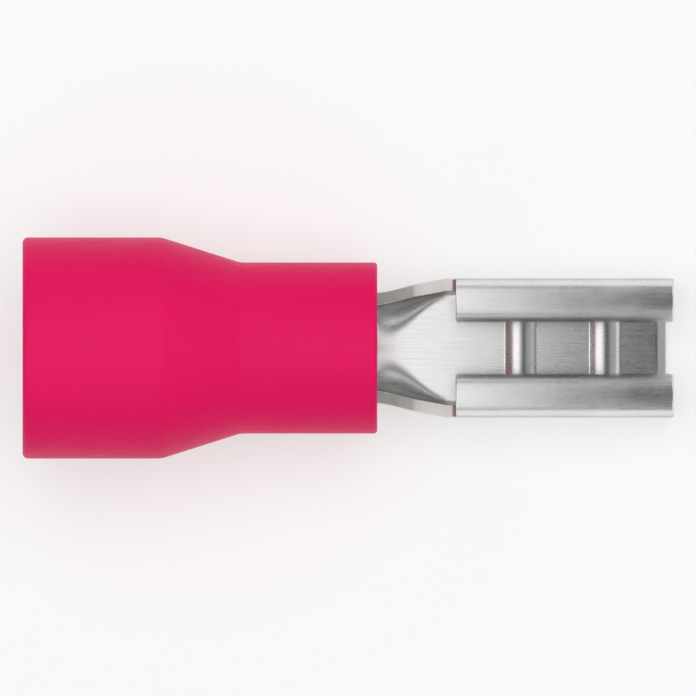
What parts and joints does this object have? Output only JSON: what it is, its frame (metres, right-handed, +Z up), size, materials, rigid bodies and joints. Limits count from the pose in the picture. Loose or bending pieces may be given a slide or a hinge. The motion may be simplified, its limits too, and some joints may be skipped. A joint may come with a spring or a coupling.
{
  "type": "female spade terminal",
  "caption": "Push-on female spade terminal: a tinned strip folded into a receptacle with rolled edges and contact ribs, its crimp barrel covered by a flared red sleeve.",
  "frame": {"origin": "middle of the terminal's footprint, on the surface it lies on", "axes": "+X along the terminal, from the wire end to the receptacle's mouth; +Z up, with the rolled edges on top; +Y across. The wire's axis dips 5.98 degrees towards the mouth, because the terminal rests on the bell's shoulder and on the front of the receptacle"},
  "size_m": [0.018, 0.006, 0.0064],
  "materials": {
    "tinned_brass": "tin plated, satin",
    "red_pvc": "moulded PVC, soft gloss"
  },
  "bodies": {
    "root": {"metal_terminal": "tinned_brass", "insulating_sleeve": "red_pvc"}
  },
  "joints": []
}
